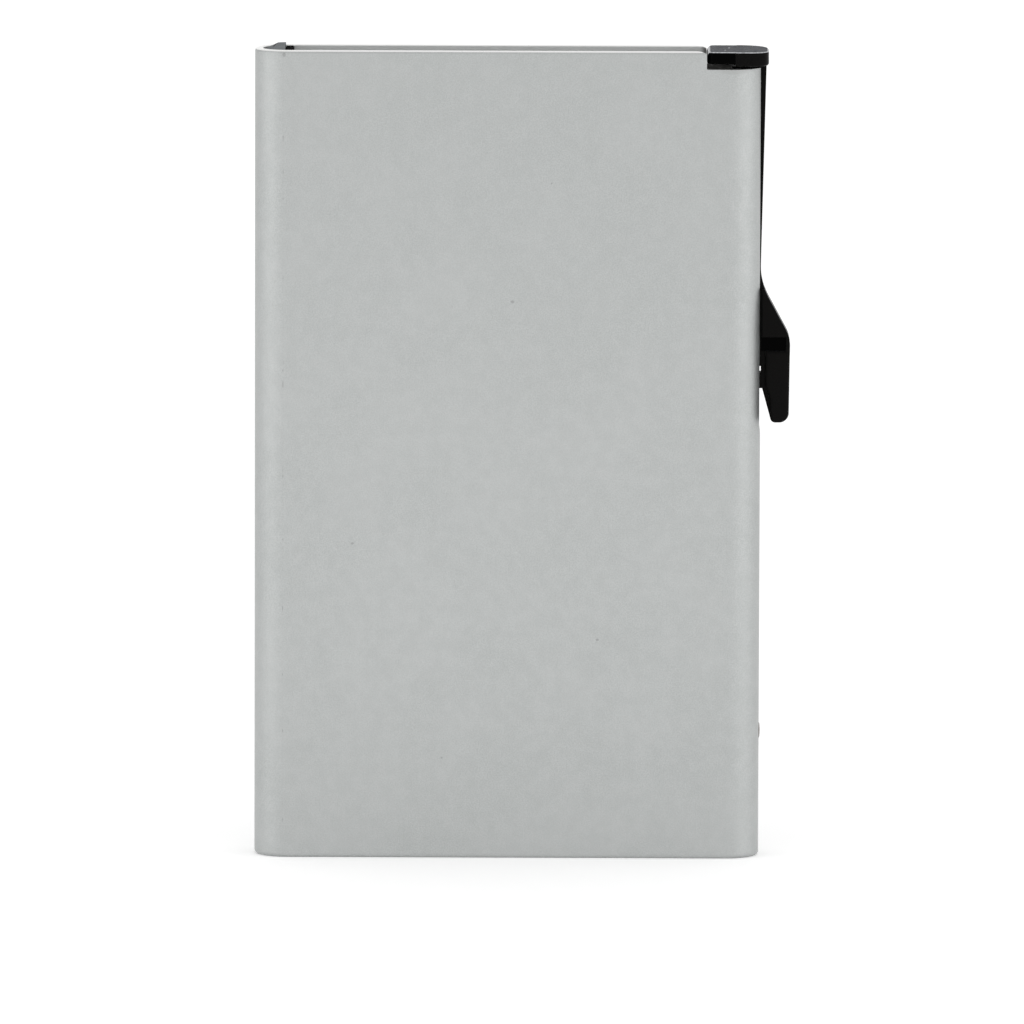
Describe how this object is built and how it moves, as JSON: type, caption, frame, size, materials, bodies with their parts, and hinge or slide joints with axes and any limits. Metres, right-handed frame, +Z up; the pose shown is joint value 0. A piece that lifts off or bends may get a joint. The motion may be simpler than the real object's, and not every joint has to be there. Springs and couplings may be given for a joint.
{
  "type": "pop-up card holder",
  "caption": "Flat aluminium tube, open at the top, that grips a stack of wallet cards and lifts them as a fan; a sprung side lever hooks over the cards.",
  "frame": {"origin": "centre of the tube's bottom face", "axes": "+Z up along the tube towards its open mouth, +X across the width towards the lever, +Y through the thickness to the back"},
  "size_m": [0.0661, 0.0094, 0.1006],
  "materials": {
    "anodised_aluminium": "fine blasted and clear anodised, satin",
    "black_plastic": "moulded, fine matte",
    "black_gloss_plastic": "moulded, glossy with fine wear",
    "black_felt": "short dense pile",
    "dark_acetal": "smooth, waxy",
    "spring_steel": "rolled strip",
    "rivet_steel": "darkened, formed head",
    "black_steel": "black oxide"
  },
  "bodies": {
    "case": {"case_tube": "anodised_aluminium", "end_plug": "black_plastic", "plug_screw": "black_steel", "left_rail": "black_plastic", "friction_strip": "black_felt", "right_rail": "black_plastic", "side_rivet": "rivet_steel"},
    "slide": {"slider_bar": "dark_acetal", "detent_spring": "spring_steel", "ejector": "dark_acetal", "ejector_rivets": "rivet_steel", "pivot_pin": "spring_steel", "lever_spring": "spring_steel"},
    "lever": {"lever": "black_gloss_plastic"}
  },
  "joints": [
    {"name": "card_slide", "type": "slide", "parent": "case", "child": "slide", "axis": [0, 0, 1], "range_m": [0, 0.028]},
    {"name": "lever_press", "type": "hinge", "parent": "slide", "child": "lever", "pos_m": [0.02865, 0, 0.0641], "axis": [0, 1, 0], "range_deg": [0, 6], "stiffness_Nm_per_rad": 0.115, "springref_deg": -2.86, "deforming": ["lever_spring"]}
  ]
}
